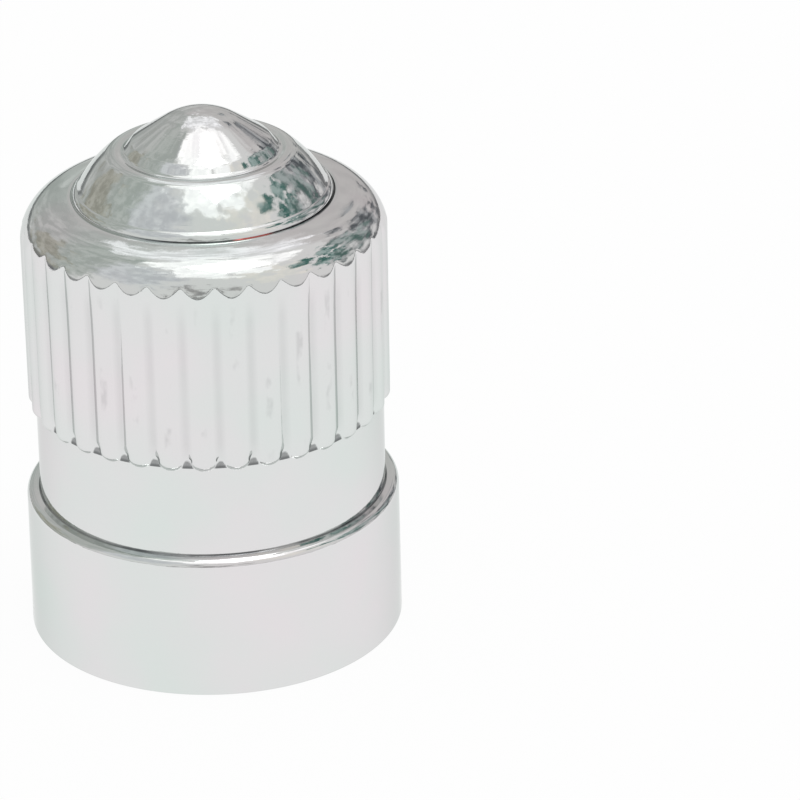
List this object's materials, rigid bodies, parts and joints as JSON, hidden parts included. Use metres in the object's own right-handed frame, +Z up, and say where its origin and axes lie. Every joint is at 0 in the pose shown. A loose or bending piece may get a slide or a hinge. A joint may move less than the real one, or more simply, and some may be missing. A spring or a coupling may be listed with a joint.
{
  "type": "tyre valve cap",
  "caption": "Metal sealing valve cap with a ribbed grip, plain band, ledged collar and pointed dome, holding a threaded insert and a soft red seal.",
  "frame": {"origin": "centre of the plane of the open mouth's lip, on the cap's axis, where the cap rests", "axes": "+Z up along the cap's axis, from the open mouth to the nipple; -Y towards the viewer of the picture, +X to the right"},
  "size_m": [0.0098, 0.0098, 0.0142],
  "materials": {
    "shell_chrome": "bright chrome plating over drawn brass, lightly scratched",
    "insert_plating": "pale plating over brass, with a rolled thread",
    "seal_rubber": "soft red silicone, satin"
  },
  "bodies": {
    "root": {"shell": "shell_chrome", "threaded_insert": "insert_plating", "seal": "seal_rubber"}
  },
  "joints": []
}
